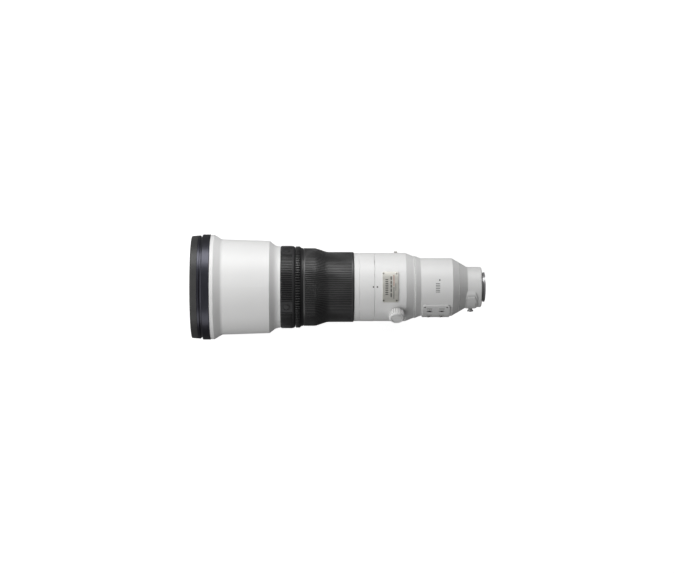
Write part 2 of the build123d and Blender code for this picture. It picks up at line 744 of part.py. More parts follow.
with BuildPart() as contact_pins:
    with BuildSketch(Plane.YZ.offset(3.8)):
        with PolarLocations(20.0, 8, start_angle=270 - 24.5, angular_range=49, endpoint=True):
            Circle(0.6)
    extrude(amount=1.1)
save(contact_pins, "contact_pins")

with BuildPart() as contact_block:
    revolve(band(2.4, -4.6, THROAT_R + 0.15, SPIGOT_R - 0.65), axis=Axis.X)
    with BuildSketch(Plane.YZ.offset(-3.0)):
        with BuildLine():
            Polyline((0, 0), (30 * sin(radians(27.5)), -30 * cos(radians(27.5))),
                     (-30 * sin(radians(27.5)), -30 * cos(radians(27.5))), close=True)
        make_face()
    extrude(amount=9.0, mode=Mode.INTERSECT)
    add(contact_pins.part, mode=Mode.SUBTRACT)
save(contact_block, "contact_block")

CAP_R = 33.4
LATCH_R = 4.6
LATCH_SHAFT_R = 2.5

with BuildPart() as filter_holder:
    with BuildSketch(radial(FILTER_AT, -90)):
        RectangleRounded(13.8, 57.8, 2.5)
    extrude(amount=40.0)
    revolve(band(24.0, 8.0, 31.5, CAP_R), axis=Axis.X, mode=Mode.INTERSECT)
    with BuildSketch(Plane.YZ.offset(-FILTER_AT - 3.7)):
        with Locations((-27.0, 0)):
            Rectangle(12.0, 40.0)
        Circle(32.0, mode=Mode.INTERSECT)
        Circle(26.6)
        Circle(22.0, mode=Mode.SUBTRACT)
    extrude(amount=7.6)
    with BuildSketch(Plane.YZ.offset(-FILTER_AT + 0.3)):
        Circle(25.0)
    extrude(amount=4.0, mode=Mode.SUBTRACT)
    with BuildSketch(radial(FILTER_AT, -90, 27.5)):
        Circle(LATCH_SHAFT_R + RUN)
    extrude(amount=10.0, mode=Mode.SUBTRACT)
save(filter_holder, "filter_holder")

with BuildPart() as filter_glass:
    revolve(band(FILTER_AT - 0.3, FILTER_AT - 2.3, 0, 24.9), axis=Axis.X)
save(filter_glass, "filter_glass")

with BuildPart() as filter_latch:
    with BuildSketch(radial(FILTER_AT, -90, 28.0)):
        Circle(LATCH_SHAFT_R)
    extrude(amount=6.0)
    with BuildSketch(radial(FILTER_AT, -90, CAP_R + 0.15)):
        Circle(3.2)
    extrude(amount=2.2)
    with BuildSketch(radial(FILTER_AT, -90, 35.5)):
        Circle(LATCH_R)
    extrude(amount=3.2)
    chamfer(filter_latch.edges().group_by(Axis.Y)[0], 0.5)
    with BuildSketch(radial(FILTER_AT, -90, 38.1)):
        with Locations((-3.4, 0), (3.4, 0)):
            Rectangle(3.6, 12.0)
    extrude(amount=2.0, mode=Mode.SUBTRACT)
save(filter_latch, "filter_latch")
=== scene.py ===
from math import asin, cos, degrees, pi, radians, sin, sqrt

import bmesh
import bpy
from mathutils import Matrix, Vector


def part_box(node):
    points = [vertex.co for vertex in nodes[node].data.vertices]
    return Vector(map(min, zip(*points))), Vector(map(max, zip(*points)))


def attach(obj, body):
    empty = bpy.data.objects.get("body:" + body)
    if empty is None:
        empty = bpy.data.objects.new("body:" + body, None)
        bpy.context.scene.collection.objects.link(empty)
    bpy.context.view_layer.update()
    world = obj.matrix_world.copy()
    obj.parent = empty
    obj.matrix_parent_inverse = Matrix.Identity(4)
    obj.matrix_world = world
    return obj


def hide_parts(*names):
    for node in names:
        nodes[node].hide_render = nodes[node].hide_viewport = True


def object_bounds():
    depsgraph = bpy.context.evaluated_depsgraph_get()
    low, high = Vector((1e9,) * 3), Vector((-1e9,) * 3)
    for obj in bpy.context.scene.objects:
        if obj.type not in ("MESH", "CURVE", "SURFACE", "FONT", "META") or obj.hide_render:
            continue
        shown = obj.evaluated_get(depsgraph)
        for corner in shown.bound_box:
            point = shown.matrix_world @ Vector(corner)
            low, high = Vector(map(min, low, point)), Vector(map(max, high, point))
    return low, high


# Looks of a white super-telephoto lens. Metres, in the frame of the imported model: the lens axis is X, the
# front is at -X, +Z is up and +Y is the photographer's right. Sizes on the lens are given here in
# millimetres and multiplied by MM; lights, floor and camera are in metres.

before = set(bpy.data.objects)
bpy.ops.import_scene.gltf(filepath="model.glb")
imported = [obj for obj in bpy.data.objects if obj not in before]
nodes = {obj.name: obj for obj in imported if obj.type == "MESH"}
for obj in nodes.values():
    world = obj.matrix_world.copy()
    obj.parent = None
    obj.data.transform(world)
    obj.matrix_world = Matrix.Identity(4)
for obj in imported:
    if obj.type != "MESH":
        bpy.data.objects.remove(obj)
cad_low, cad_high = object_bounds()
scene = bpy.context.scene
MM = 0.001


def place(ahead, angle, radius):
    """Point at a distance ahead of the flange, an angle in degrees from the top towards +Y, and a radius."""
    turn = radians(angle)
    return Vector((-ahead, radius * sin(turn), radius * cos(turn))) * MM


# ---------------------------------------------------------------- materials


class Shader:
    """A Principled material that is built up from a few plain steps."""

    def __init__(self, name, colour, roughness, metallic=0.0):
        self.material = bpy.data.materials.new(name)
        self.material.use_nodes = True
        self.tree = self.material.node_tree
        self.bsdf = self.tree.nodes["Principled BSDF"]
        self.colour = (*colour, 1.0)
        self.bsdf.inputs["Base Color"].default_value = self.colour
        self.bsdf.inputs["Roughness"].default_value = roughness
        self.bsdf.inputs["Metallic"].default_value = metallic
        self.coords = self.tree.nodes.new("ShaderNodeTexCoord")
        self.colour_out = None
        self.height = None

    def set(self, socket, value):
        self.bsdf.inputs[socket].default_value = value

    def node(self, kind, **settings):
        made = self.tree.nodes.new(kind)
        for key, value in settings.items():
            setattr(made, key, value)
        return made

    def link(self, source, target):
        self.tree.links.new(source, target)

    def math(self, operation, first, second):
        """Arithmetic on two values; each is a number or a socket."""
        made = self.node("ShaderNodeMath", operation=operation)
        for socket, value in zip(made.inputs, (first, second)):
            if isinstance(value, (int, float)):
                socket.default_value = value
            else:
                self.link(value, socket)
        return made.outputs[0]

    def noise(self, scale, detail=2.0, stretch=(1, 1, 1), vector=None):
        """Noise from 0 to 1; scale is its features per metre."""
        mapping = self.node("ShaderNodeMapping")
        mapping.inputs["Scale"].default_value = stretch
        self.link(vector or self.coords.outputs["Object"], mapping.inputs["Vector"])
        made = self.node("ShaderNodeTexNoise")
        made.inputs["Scale"].default_value = scale
        made.inputs["Detail"].default_value = detail
        self.link(mapping.outputs["Vector"], made.inputs["Vector"])
        return made.outputs["Fac"]

    def spread(self, noise, low, high):
        """Stretch the middle of a noise over the range from low to high."""
        made = self.node("ShaderNodeMapRange")
        self.link(noise, made.inputs["Value"])
        for socket, number in zip(("From Min", "From Max", "To Min", "To Max"), (0.3, 0.7, low, high)):
            made.inputs[socket].default_value = number
        return made.outputs["Result"]

    def mix(self, factor, first, second):
        """Colour mix; each side is a colour or a socket."""
        made = self.node("ShaderNodeMix", data_type="RGBA")
        self.link(factor, made.inputs[0])
        for socket, value in ((made.inputs[6], first), (made.inputs[7], second)):
            if isinstance(value, tuple):
                socket.default_value = value
            else:
                self.link(value, socket)
        return made.outputs[2]

    def tint(self, factor, colour):
        """Mix a colour over what is there."""
        self.colour_out = self.mix(factor, self.colour_out or self.colour, (*colour, 1.0))

    def mottle(self, scale, share, stretch=(1, 1, 1)):
        """Slow change of lightness, by a share either side of the colour."""
        dark = tuple(channel * (1 - share) for channel in self.colour[:3])
        light = tuple(min(1.0, channel * (1 + share)) for channel in self.colour[:3])
        drift = self.spread(self.noise(scale, 3.0, stretch), 0.0, 1.0)
        self.colour_out = self.mix(drift, (*dark, 1.0), (*light, 1.0))

    def smudge(self, scale, low, high, stretch=(1, 1, 1)):
        """Roughness that varies between low and high."""
        rough = self.spread(self.noise(scale, 4.0, stretch), low, high)
        self.link(rough, self.bsdf.inputs["Roughness"])

    def grain(self, scale, depth, detail=2.0, stretch=(1, 1, 1)):
        """Surface relief of a depth in millimetres."""
        self.height = self.math("MULTIPLY", self.noise(scale, detail, stretch), depth * MM)

    def vector(self, operation, first, second=None):
        """Vector arithmetic; the second vector is fixed, or a socket."""
        made = self.node("ShaderNodeVectorMath", operation=operation)
        self.link(first, made.inputs[0])
        if isinstance(second, bpy.types.NodeSocket):
            self.link(second, made.inputs[1])
        elif second is not None:
            made.inputs[1].default_value = second
        return made.outputs["Value" if operation in ("DOT_PRODUCT", "LENGTH") else "Vector"]

    def from_lens_axis(self):
        """Vector from the lens axis to the surface."""
        return self.vector("MULTIPLY", self.coords.outputs["Object"], (0.0, 1.0, 1.0))

    def done(self):
        if self.colour_out is not None:
            self.link(self.colour_out, self.bsdf.inputs["Base Color"])
        if self.height is not None:
            bump = self.node("ShaderNodeBump")
            bump.inputs["Distance"].default_value = 1.0
            bump.inputs["Strength"].default_value = 1.0
            self.link(self.height, bump.inputs["Height"])
            self.link(bump.outputs["Normal"], self.bsdf.inputs["Normal"])
        return self.material


WHITE = (0.80, 0.80, 0.795)
INSIDE = (0.012, 0.012, 0.013)
INWARD = -0.0005  # outward lean, in metres, below which a surface faces the lens axis
FLUTE_R = 11.95  # the flutes of the clamp knob lie within this radius of its axis
FLUTE_TOP = 64.3  # distance from the lens axis where the flutes end
# Painted shade: colour laid into the flutes of the knob, where shade falls
FLUTE_PAINTED_SHADE = (0.40, 0.40, 0.395)
BRUSH_SCALE = 500.0  # lines per metre, roughly
BRUSH_DEPTH = 0.004
LATHE_PITCH = 0.35
LATHE_DEPTH = 0.002
# Painted shade for the recessed neck of the mount
NECK_PAINTED_SHADE = (0.03, 0.03, 0.032)
BOARD_PAD_SCALE = 420.0  # gold pads per metre of the circuit board, roughly
BOARD_PAD_REACH = 0.16  # half the size of a pad, as a share of its cell
BOARD_PAD_GOLD = (0.65, 0.45, 0.15)


def white_paint_steps(name, colour):
    """Heat-reflecting enamel with a fine even grain."""
    paint = Shader(name, colour, 0.42)
    paint.set("Specular IOR Level", 0.42)
    paint.mottle(9.0, 0.012)
    paint.smudge(60.0, 0.38, 0.46)
    paint.grain(2600.0, 0.010, 1.0)
    return paint


def white_paint(name, colour=WHITE, blacken_inside=False):
    """White enamel; a shell can have its inner walls blackened."""
    paint = white_paint_steps(name, colour)
    if blacken_inside:
        outward = paint.vector("DOT_PRODUCT", paint.from_lens_axis(), paint.coords.outputs["Normal"])
        paint.tint(paint.math("LESS_THAN", outward, INWARD), INSIDE)
    return paint.done()


def knob_paint():
    """White enamel darker than the rest as painted shade, with painted shade laid into the flutes of the
    clamp knob.
    """
    knob_low, knob_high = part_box("clamp_knob")
    middle_of_knob = (knob_low + knob_high) / 2
    out = Vector((0.0, middle_of_knob.y, middle_of_knob.z)).normalized()
    # A darker copy of the white enamel: painted shade for the knob
    paint = white_paint_steps("white_knob_painted_shade", (0.74, 0.74, 0.735))
    from_lens = paint.vector("SUBTRACT", paint.coords.outputs["Object"], (middle_of_knob.x, 0.0, 0.0))
    along = paint.vector("DOT_PRODUCT", from_lens, out)
    reach = paint.vector("LENGTH", paint.vector("CROSS_PRODUCT", from_lens, out))
    low = paint.math("LESS_THAN", reach, FLUTE_R * MM)
    side = paint.math("LESS_THAN", along, FLUTE_TOP * MM)
    # Painted shade in the flutes
    paint.tint(paint.math("MULTIPLY", low, side), FLUTE_PAINTED_SHADE)
    return paint.done()


def gloss_black():
    """Smooth black lacquer with a bluish shine."""
    lacquer = Shader("gloss_black_lacquer", (0.004, 0.004, 0.0055), 0.34)
    lacquer.mottle(14.0, 0.2)
    lacquer.smudge(35.0, 0.31, 0.38)
    lacquer.set("Specular IOR Level", 0.78)
    lacquer.set("Specular Tint", (0.80, 0.81, 1.0, 1.0))
    lacquer.set("Coat Weight", 0.15)
    lacquer.set("Coat Roughness", 0.25)
    lacquer.grain(700.0, 0.0015, 2.0)
    return lacquer.done()


def satin_black(name, colour=(0.016, 0.016, 0.017), roughness=0.42):
    """Black anodised or painted metal."""
    black = Shader(name, colour, roughness)
    black.mottle(40.0, 0.12)
    black.smudge(90.0, roughness - 0.05, roughness + 0.07)
    black.grain(3200.0, 0.006, 1.0)
    return black.done()


def moulded_black(name, colour=(0.022, 0.022, 0.023), roughness=0.5):
    """Black plastic with a spark-eroded texture."""
    plastic = Shader(name, colour, roughness)
    plastic.mottle(70.0, 0.1)
    plastic.smudge(120.0, roughness - 0.05, roughness + 0.06)
    plastic.grain(1800.0, 0.012, 2.0)
    return plastic.done()


def matte_black():
    """Light-absorbing finish of the inner parts."""
    flock = Shader("matte_black_interior", (0.008, 0.008, 0.0085), 0.8)
    flock.mottle(60.0, 0.25)
    flock.grain(2400.0, 0.02, 2.0)
    return flock.done()


def rubber(name, colour, specular):
    """Black rubber with a faint greyish bloom."""
    tread = Shader(name, colour, 0.40)
    tread.set("Specular IOR Level", specular)
    tread.mottle(45.0, 0.14)
    tread.smudge(80.0, 0.36, 0.45)
    tread.grain(1500.0, 0.014, 3.0)
    tread.set("Sheen Weight", 0.04)
    tread.set("Sheen Roughness", 0.5)
    return tread.done()


def brushed(name, colour, roughness, stretch, metallic):
    """Metal with fine lines along one axis; stretch is small along the lines."""
    metal = Shader(name, colour, roughness, metallic)
    metal.mottle(BRUSH_SCALE * 0.5, 0.06, stretch)
    metal.smudge(BRUSH_SCALE, roughness - 0.06, roughness + 0.08, stretch)
    metal.grain(BRUSH_SCALE * 3, BRUSH_DEPTH, 2.0, stretch)
    return metal.done()


def turned_metal(name, colour, roughness, metallic=1.0, painted_shade_neck=None):
    """Metal with the fine rings that a lathe leaves, about the lens axis.

    The neck, if there is one, gets painted shade, a near-black tint where the recess between flange and lugs
    lies in shade: X from and to, and the largest radius.
    """
    metal = Shader(name, colour, roughness, metallic)
    radius = metal.vector("LENGTH", metal.from_lens_axis())
    axial = metal.node("ShaderNodeSeparateXYZ")
    metal.link(metal.coords.outputs["Object"], axial.inputs[0])
    across = metal.node("ShaderNodeCombineXYZ")
    metal.link(radius, across.inputs["X"])
    metal.link(axial.outputs["X"], across.inputs["Y"])
    rings = metal.noise(1.0 / (LATHE_PITCH * MM), 2.0, vector=across.outputs["Vector"])
    metal.height = metal.math("MULTIPLY", rings, LATHE_DEPTH * MM)
    metal.mottle(120.0, 0.05)
    metal.smudge(150.0, roughness - 0.04, roughness + 0.06)
    # Painted shade: near-black tint on the neck between the flange and the lugs
    if painted_shade_neck:
        start, end, largest = painted_shade_neck
        between = metal.math(
            "MULTIPLY",
            metal.math("GREATER_THAN", axial.outputs["X"], start * MM),
            metal.math("LESS_THAN", axial.outputs["X"], end * MM),
        )
        low = metal.math("LESS_THAN", radius, largest * MM)
        metal.tint(metal.math("MULTIPLY", between, low), NECK_PAINTED_SHADE)
    return metal.done()


def lens_glass(name, tint, reflection):
    """Optical glass whose coating leaves a weak, coloured reflection."""
    glass = Shader(name, tint, 0.01)
    glass.set("Transmission Weight", 1.0)
    glass.set("IOR", 1.52)
    glass.set("Specular IOR Level", 0.08)
    glass.set("Specular Tint", (*reflection, 1.0))
    glass.mottle(6.0, 0.02)
    return glass.done()


def printed(name, colour):
    """Thin printed or filled mark."""
    ink = Shader(name, colour, 0.5)
    ink.mottle(900.0, 0.12)
    ink.grain(2500.0, 0.003, 1.0)
    return ink.done()


def circuit_board():
    """Green solder mask with scattered square gold pads."""
    board = Shader("circuit_board", (0.012, 0.10, 0.045), 0.35)
    board.mottle(150.0, 0.25)
    cells = board.node("ShaderNodeTexVoronoi", distance="CHEBYCHEV")
    cells.inputs["Scale"].default_value = BOARD_PAD_SCALE
    board.link(board.coords.outputs["Object"], cells.inputs["Vector"])
    board.tint(board.math("LESS_THAN", cells.outputs["Distance"], BOARD_PAD_REACH), BOARD_PAD_GOLD)
    return board.done()


PAINT = white_paint("white_enamel")
PAINT_SHELL = white_paint("white_enamel_shell", blacken_inside=True)
# Darker copies of the same white enamel towards the rear: painted shade where the light falls off
PAINT_REAR_SHADED = white_paint("white_enamel_rear_painted_shade", (0.77, 0.77, 0.765), blacken_inside=True)
PAINT_MOUNT_SHADED = white_paint("white_enamel_mount_painted_shade", (0.71, 0.71, 0.705), blacken_inside=True)
PAINT_PANEL = white_paint("white_enamel_panel", (0.68, 0.68, 0.675))
KNOB_PAINTED_SHADE = knob_paint()
GLOSS = gloss_black()
BLACK_METAL = satin_black("black_anodised")
BAND = satin_black("function_band", (0.012, 0.012, 0.0125), 0.38)
BLACK_PLASTIC = moulded_black("black_plastic")
BUTTON = moulded_black("button_plastic", (0.024, 0.024, 0.025), 0.40)
INTERIOR = matte_black()
RUBBER = rubber("grip_rubber", (0.024, 0.024, 0.0244), 0.85)
# Darker rubber for the bottoms of the grooves: painted shade
GROOVE_PAINTED_SHADE = rubber("grip_rubber_groove_painted_shade", (0.005, 0.005, 0.005), 0.15)
SHALLOW_GROOVE_PAINTED_SHADE = rubber("grip_rubber_shallow_groove_painted_shade", (0.013, 0.013, 0.0132), 0.35)
BUMPER = rubber("bumper_rubber", (0.032, 0.032, 0.032), 0.4)
NICKEL = brushed("satin_nickel", (0.66, 0.65, 0.60), 0.38, (0.02, 1.0, 1.0), 0.45)
STEEL = brushed("lug_steel", (0.62, 0.61, 0.58), 0.42, (1.0, 1.0, 0.05), 0.6)
SCREW = turned_metal("screw_steel", (0.30, 0.29, 0.27), 0.35)
LATCH = brushed("latch_alloy", (0.40, 0.40, 0.40), 0.45, (1.0, 0.05, 1.0), 0.5)
# Painted shade on the neck between the flange and the bayonet lugs
CHROME = turned_metal("mount_chrome", (0.60, 0.60, 0.61), 0.30, 0.6, painted_shade_neck=(0.1, 1.6, 22.2))
GOLD = turned_metal("contact_gold", (0.83, 0.61, 0.24), 0.2)
FRONT_GLASS = lens_glass("front_glass", (0.97, 1.0, 0.98), (0.26, 0.42, 0.36))
INNER_GLASS = lens_glass("inner_glass", (0.98, 0.99, 1.0), (0.26, 0.20, 0.40))
BEARING = moulded_black("bearing_plastic", (0.35, 0.34, 0.31), 0.5)
BOARD = circuit_board()
DARK_INK = printed("dark_ink", (0.03, 0.029, 0.028))
GREY_INK = printed("grey_ink", (0.11, 0.11, 0.108))
RED_INK = printed("red_ink", (0.42, 0.12, 0.07))

NODE_MATERIALS = {
    PAINT: ("tripod_collar", "tripod_foot"),
    PAINT_SHELL: ("front_barrel", "middle_barrel"),
    PAINT_REAR_SHADED: ("rear_barrel",),
    PAINT_MOUNT_SHADED: ("mount_barrel",),
    PAINT_PANEL: ("switch_panel", "filter_holder"),
    KNOB_PAINTED_SHADE: ("clamp_knob",),
    GLOSS: ("front_ring",),
    BLACK_METAL: ("main_tube", "journal_tube", "motor_stator", "motor_rotor", "focus_sleeve", "iris_ring",
                  "stabiliser_frame"),
    BAND: ("function_sleeve",),
    BLACK_PLASTIC: ("button_ring", "contact_block"),
    BUTTON: tuple(name for name in nodes if name.startswith("focus_hold_button")),
    GREY_INK: tuple(name for name in nodes if name.endswith("_switch")),
    INTERIOR: ("light_baffle", "second_cell", "focus_cell", "iris_stabiliser_housing", "stabiliser_cell",
               "rear_cell"),
    BUMPER: ("front_rubber_ring",),
    NICKEL: ("nameplate",),
    STEEL: ("strap_lugs", "guide_rods", "clamp_screw"),
    SCREW: ("nameplate_screws", "foot_screws", "barrel_screws"),
    LATCH: ("filter_latch",),
    CHROME: ("mount_flange",),
    GOLD: ("contact_pins",),
    FRONT_GLASS: ("front_element",),
    INNER_GLASS: ("second_elements", "focus_element", "stabiliser_element", "rear_elements", "rear_glass",
                  "filter_glass"),
    BEARING: ("collar_liner", "brake_shoe"),
    BOARD: ("main_board",),
}

for material, names in NODE_MATERIALS.items():
    for name in names:
        for slot in nodes[name].material_slots:
            slot.material = material


# ---------------------------------------------------------------- ribbed grips


SHARP_EDGE = 38.0  # degrees; flatter edges are shaded smooth


def finish_mesh(name, mesh, materials, body):
    """Turn a bmesh into a piece that rides on a body."""
    bmesh.ops.recalc_face_normals(mesh, faces=mesh.faces)
    data = bpy.data.meshes.new(name)
    mesh.to_mesh(data)
    mesh.free()
    data.polygons.foreach_set("use_smooth", [True] * len(data.polygons))
    data.set_sharp_from_angle(angle=radians(SHARP_EDGE))
    piece = bpy.data.objects.new(name, data)
    scene.collection.objects.link(piece)
    for material in materials:
        data.materials.append(material)
    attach(piece, body)
    return piece


def skin_rings(rings, closed):
    """Closed mesh through rings of points: the rings make a loop, and each ring is closed or capped."""
    mesh = bmesh.new()
    grid = [[mesh.verts.new(point) for point in ring] for ring in rings]
    around = len(grid[0])
    for ring in range(len(grid)):
        after = grid[(ring + 1) % len(grid)]
        for step in range(around if closed else around - 1):
            beside = (step + 1) % around
            mesh.faces.new((grid[ring][step], grid[ring][beside], after[beside], after[step]))
    if not closed:
        mesh.faces.new([ring[0] for ring in grid])
        mesh.faces.new([ring[-1] for ring in reversed(grid)])
    return mesh


# One rib: share of the pitch, share of the height
RIB = ((0.0, 0.0), (0.24, 0.0), (0.27, 0.75), (0.33, 1.0), (0.67, 1.0), (0.73, 0.75), (0.76, 0.0))


def ribbed_sleeve(outline, inner, first, sweep, ribs, depth):
    """Sleeve about the lens axis with ribs along it, from a first angle over a sweep in degrees.

    The outline runs to the rear as (ahead, radius, share of the groove depth); the inner wall, as
    (ahead, radius), runs back to the front. The grooves take the second material, a darker rubber that is
    painted shade.
    """
    closed = sweep == 360
    around = [(first + (rib + share) * sweep / ribs, height) for rib in range(ribs) for share, height in RIB]
    if not closed:
        around.append((first + sweep, 0.0))
    rings = [
        [place(ahead, angle, radius - depth * cut * (1 - height)) for angle, height in around]
        for ahead, radius, cut in outline
    ]
    rings += [[place(ahead, angle, radius) for angle, _ in around] for ahead, radius in inner]
    mesh = skin_rings(rings, closed)
    mesh.faces.ensure_lookup_table()
    steps = len(around) if closed else len(around) - 1
    for ring, (before, after) in enumerate(zip(outline, outline[1:])):
        for step in range(steps):
            # Faces at the bottom of a groove get the darker second material: painted shade
            low = around[step][1] + around[(step + 1) % len(around)][1] < 1
            if low and before[2] and after[2]:
                mesh.faces[ring * steps + step].material_index = 1
    return mesh


BUTTON_OUTLINE = (
    (310.4, 63.2, 0.1), (310.1, 63.6, 0.5), (309.5, 64.1, 1.0),
    (293.6, 64.1, 1.0), (293.1, 63.9, 1.0), (292.7, 63.4, 0.3),
)
BUTTON_WALL = ((292.7, 63.0), (310.4, 63.0))
BUTTON_GROOVE = 1.0
BUTTON_RIBS = 28  # in each of the four stretches between the pads
FIRST_PAD_ANGLE = 60.8  # the other three pads follow at right angles
PAD_HALF_ANGLE = 9.2
joined = bmesh.new()
for quarter in range(4):
    stretch = ribbed_sleeve(
        BUTTON_OUTLINE, BUTTON_WALL,
        FIRST_PAD_ANGLE + 90 * quarter + PAD_HALF_ANGLE, 90 - 2 * PAD_HALF_ANGLE, BUTTON_RIBS, BUTTON_GROOVE,
    )
    scratch = bpy.data.meshes.new("stretch")
    stretch.to_mesh(scratch)
    stretch.free()
    joined.from_mesh(scratch)
    bpy.data.meshes.remove(scratch)
button_ribs = finish_mesh("button_ring_ribs", joined, (RUBBER, GROOVE_PAINTED_SHADE), "barrel")
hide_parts("button_grips")

FUNCTION_OUTLINE = (
    (288.1, 62.0, 0.3), (287.9, 62.5, 0.6), (287.2, 63.2, 1.0),
    (281.7, 63.2, 1.0), (281.3, 62.9, 1.0), (281.1, 62.4, 0.5),
)
FUNCTION_WALL = ((281.1, 61.4), (288.1, 61.4))
FUNCTION_GROOVE = 1.4
FUNCTION_RIBS = 96
function_ribs = finish_mesh(
    "function_ring_ribs",
    ribbed_sleeve(FUNCTION_OUTLINE, FUNCTION_WALL, 0, 360, FUNCTION_RIBS, FUNCTION_GROOVE),
    (RUBBER, GROOVE_PAINTED_SHADE), "function_ring",
)
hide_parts("function_grip")

FOCUS_OUTLINE = (
    (275.7, 59.8, 0.0), (275.6, 60.2, 0.0), (275.2, 60.4, 0.0), (273.4, 60.4, 0.0), (272.9, 60.4, 1.0),
    (258.6, 60.4, 1.0), (256.2, 60.0, 1.0), (252.5, 58.9, 1.0), (247.8, 57.3, 1.0), (243.4, 55.8, 1.0),
    (240.4, 54.9, 1.0), (236.4, 54.38, 1.0), (232.0, 54.35, 1.0), (201.6, 54.35, 1.0), (201.0, 54.35, 0.0),
    (198.9, 54.35, 0.0), (198.4, 54.1, 0.0), (198.1, 53.6, 0.0),
)
FOCUS_WALL = (
    (198.1, 52.6), (237.2, 52.6), (243.2, 54.0), (257.8, 58.6), (273.8, 58.6), (273.8, 59.0), (275.7, 59.0),
)
FOCUS_GROOVE = 0.6
FOCUS_RIBS = 120
focus_ribs = finish_mesh(
    "focus_ring_ribs",
    ribbed_sleeve(FOCUS_OUTLINE, FOCUS_WALL, 0, 360, FOCUS_RIBS, FOCUS_GROOVE),
    (RUBBER, SHALLOW_GROOVE_PAINTED_SHADE), "focus_ring",
)
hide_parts("focus_grip")


# ---------------------------------------------------------------- printed and engraved marks

DECAL_STEP = 0.35  # the spacing of points along the arc is about this
FEWEST_STEPS = 8
DECAL_THICK = 0.05  # above and below the surface
NARROWEST = 0.02  # half of the least size along the lens axis, at the ends of the arc


def decal(name, ahead, axial, angle, arc, radius, corner, material, body):
    """Thin closed patch on a cylinder, with its size along the lens axis and the length of its arc."""
    steps = max(FEWEST_STEPS, int(arc / DECAL_STEP))
    outer, inner = radius + DECAL_THICK, radius - DECAL_THICK
    rings = [[], [], [], []]
    for step in range(steps + 1):
        share = 0.5 - 0.5 * cos(pi * step / steps)
        run = arc * (share - 0.5)
        to_end = min(arc / 2 - abs(run), corner)
        half = axial / 2 - corner + sqrt(max(0.0, corner**2 - (corner - to_end) ** 2))
        half = max(half, NARROWEST)
        turn = angle + degrees(run / radius)
        around = ((half, outer), (-half, outer), (-half, inner), (half, inner))
        for ring, (shift, level) in zip(rings, around):
            ring.append(place(ahead + shift, turn, level))
    return finish_mesh(name, skin_rings(rings, False), (material,), body)


def y_decal(name, ahead, axial, y_low, y_high, radius, corner, material, body):
    """Decal between two Y positions on the top of a cylinder."""
    low, high = degrees(asin(y_low / radius)), degrees(asin(y_high / radius))
    arc = radians(high - low) * radius
    return decal(name, ahead, axial, (low + high) / 2, arc, radius, corner, material, body)


def stripes(first, step, size, count):
    """Y from and to of equal stripes."""
    lows = [first + step * number for number in range(count)]
    return [(low, low + size) for low in lows]


def mark_bars(bars, radius, body):
    """Bars, each a name, distance ahead, size along the lens axis, Y from and to, corner and ink."""
    for name, ahead, axial, low, high, corner, ink in bars:
        y_decal(name, ahead, axial, low, high, radius, corner, ink, body)


PLATE_R = 54.3
SECOND_ROW = ((11.0, 16.2), (4.8, 9.6), (-1.0, 3.6), (-7.6, -2.4), (-15.6, -9.2))
plate_bars = [
    (f"plate_bar_wide_{count}", 148.2, 4.4, low, high, 0.3, DARK_INK)
    for count, (low, high) in enumerate(stripes(-11.8, 2.8, 1.2, 9))
]
plate_bars += [
    (f"plate_bar_second_{count}", 141.6, 1.7, low, high, 0.3, DARK_INK)
    for count, (low, high) in enumerate(SECOND_ROW)
]
plate_bars += [
    ("plate_bar_red", 137.4, 0.8, 1.7, 18.6, 0.3, RED_INK),
    ("plate_bar_third", 137.4, 0.8, -18.1, 0.0, 0.3, DARK_INK),
    ("plate_bar_fourth", 134.5, 0.5, -5.7, 5.7, 0.2, DARK_INK),
]
mark_bars(plate_bars, PLATE_R, "collar")

DOT = 2.4  # diameter
COLLAR_DOT_AHEAD, COLLAR_DOT_R = 162.6, 53.0
BARREL_DOT_AHEAD, BARREL_DOT_R = 168.6, 53.1
decal("collar_index_dot", COLLAR_DOT_AHEAD, DOT, 0, DOT, COLLAR_DOT_R, DOT / 2, DARK_INK, "collar")
for count in range(4):
    decal(
        f"barrel_index_dot_{count}", BARREL_DOT_AHEAD, DOT,
        90 * count, DOT, BARREL_DOT_R, DOT / 2, DARK_INK, "barrel",
    )

REAR_R = 44.9
rear_marks = [
    (f"rear_mark_{count}", 69.4, 6.6, low, high, 0.4, GREY_INK)
    for count, (low, high) in enumerate(stripes(-8.2, 2.6, 1.0, 6))
]
rear_marks += [("rear_mark_small", 66.6, 1.8, 9.2, 12.0, 0.4, GREY_INK)]
mark_bars(rear_marks, REAR_R, "barrel")

# Marks of the slide switches: angles are measured on from the angle of the switch
PANEL_R = 46.9
SWITCH_AT = (81.6, 62.6)
SWITCH_ANGLES = (-53.0, -75.0, -97.0)
TICK_SHIFTS = (-2.6, 0.0, 2.6)
TICK_ANGLE, TICK_AXIAL, TICK_ARC, TICK_CORNER = 4.4, 1.4, 0.6, 0.2
TITLE_ANGLE, TITLE_AXIAL, TITLE_ARC, TITLE_CORNER = 7.0, 8.6, 0.9, 0.3
for row, angle in enumerate(SWITCH_ANGLES):
    for column, ahead in enumerate(SWITCH_AT):
        for tick, shift in enumerate(TICK_SHIFTS):
            decal(
                f"switch_tick_{row}_{column}_{tick}", ahead + shift, TICK_AXIAL,
                angle + TICK_ANGLE, TICK_ARC, PANEL_R, TICK_CORNER, GREY_INK, "barrel",
            )
        decal(
            f"switch_title_{row}_{column}", ahead, TITLE_AXIAL,
            angle + TITLE_ANGLE, TITLE_ARC, PANEL_R, TITLE_CORNER, GREY_INK, "barrel",
        )


# ---------------------------------------------------------------- floor, light and camera

FLOOR_SIZE = 12.0
FLOOR_X = -0.22
FLOOR_GREY = (0.42, 0.42, 0.42)
FLOOR_GLOW = 0.82  # nearly white by itself, so that shadows on it stay faint


